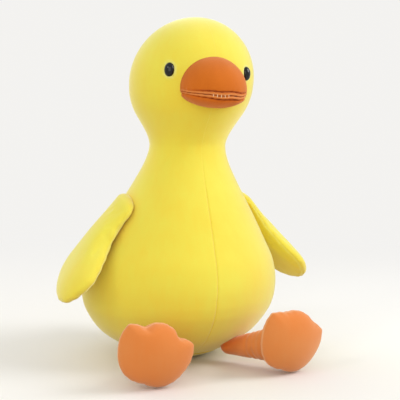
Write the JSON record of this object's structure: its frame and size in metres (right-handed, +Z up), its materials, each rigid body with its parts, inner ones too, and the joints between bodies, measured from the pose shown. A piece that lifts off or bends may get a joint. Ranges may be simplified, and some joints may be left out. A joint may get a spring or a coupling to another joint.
{
  "type": "plush duck",
  "caption": "Sitting stuffed duck with a pear body, round head, domed bill, stem eyes, hanging wings and webbed feet out in front.",
  "frame": {"origin": "centre of the seat's flat face, on the surface the duck sits on", "axes": "+Z up through the crown, -Y the way the duck faces, +X to the duck's own left"},
  "size_m": [0.2962, 0.26, 0.35],
  "materials": {
    "yellow_velour": "short-pile lemon yellow velour, brushed smooth, with sewn seams",
    "bill_velour": "short-pile burnt orange velour",
    "foot_velour": "short-pile peach orange velour with a pale nap on its edges",
    "fibre_filling": "white polyester fibre filling, out of sight",
    "eye_black": "polished black plastic",
    "washer_white": "plain white moulded plastic, out of sight"
  },
  "bodies": {
    "torso": {"body_panel_left": "yellow_velour", "body_panel_right": "yellow_velour", "base_panel": "yellow_velour", "body_stuffing": "fibre_filling", "tail_cover": "yellow_velour", "tail_stuffing": "fibre_filling"},
    "head": {"head_panel_left": "yellow_velour", "head_panel_right": "yellow_velour", "head_stuffing": "fibre_filling", "upper_bill_cover": "bill_velour", "upper_bill_stuffing": "fibre_filling", "lower_bill_cover": "bill_velour", "lower_bill_stuffing": "fibre_filling", "eye_left": "eye_black", "eye_right": "eye_black", "eye_washer_left": "washer_white", "eye_washer_right": "washer_white"},
    "wing_left": {"wing_left_outer_panel": "yellow_velour", "wing_left_inner_panel": "yellow_velour", "wing_left_stuffing": "fibre_filling"},
    "wing_right": {"wing_right_outer_panel": "yellow_velour", "wing_right_inner_panel": "yellow_velour", "wing_right_stuffing": "fibre_filling"},
    "leg_left": {"leg_left_cover": "foot_velour", "leg_left_stuffing": "fibre_filling"},
    "leg_right": {"leg_right_cover": "foot_velour", "leg_right_stuffing": "fibre_filling"},
    "foot_left": {"foot_left_sole": "foot_velour", "foot_left_instep": "foot_velour", "foot_left_stuffing": "fibre_filling"},
    "foot_right": {"foot_right_sole": "foot_velour", "foot_right_instep": "foot_velour", "foot_right_stuffing": "fibre_filling"}
  },
  "joints": [
    {"name": "head_nod", "type": "hinge", "parent": "torso", "child": "head", "pos_m": [0.00988, -0.01399, 0.235], "axis": [1, 0, 0], "range_deg": [-12, 15], "stiffness_Nm_per_rad": 0.8},
    {"name": "wing_left_flap", "type": "hinge", "parent": "torso", "child": "wing_left", "pos_m": [0.07803, 0.00313, 0.16179], "axis": [0.2527, -0.9631, -0.0927], "range_deg": [-3, 60], "stiffness_Nm_per_rad": 0.15},
    {"name": "wing_right_flap", "type": "hinge", "parent": "torso", "child": "wing_right", "pos_m": [-0.06468, -0.02111, 0.16158], "axis": [-0.092, 0.9914, 0.0927], "range_deg": [-3, 60], "stiffness_Nm_per_rad": 0.15},
    {"name": "hip_left", "type": "hinge", "parent": "torso", "child": "leg_left", "pos_m": [0.03719, -0.06441, 0.0109], "axis": [-0.866, -0.5, 0], "range_deg": [-75, 8], "stiffness_Nm_per_rad": 0.3},
    {"name": "hip_right", "type": "hinge", "parent": "torso", "child": "leg_right", "pos_m": [-0.03685, -0.06382, 0.0109], "axis": [-0.866, 0.5, 0], "range_deg": [-75, 8], "stiffness_Nm_per_rad": 0.3},
    {"name": "ankle_left", "type": "hinge", "parent": "leg_left", "child": "foot_left", "pos_m": [0.0616, -0.10669, 0.0149], "axis": [-0.9893, -0.1461, 0], "range_deg": [-30, 10], "stiffness_Nm_per_rad": 0.15},
    {"name": "ankle_right", "type": "hinge", "parent": "leg_right", "child": "foot_right", "pos_m": [-0.0616, -0.10669, 0.0149], "axis": [-0.9893, 0.1461, 0], "range_deg": [-30, 10], "stiffness_Nm_per_rad": 0.15}
  ]
}
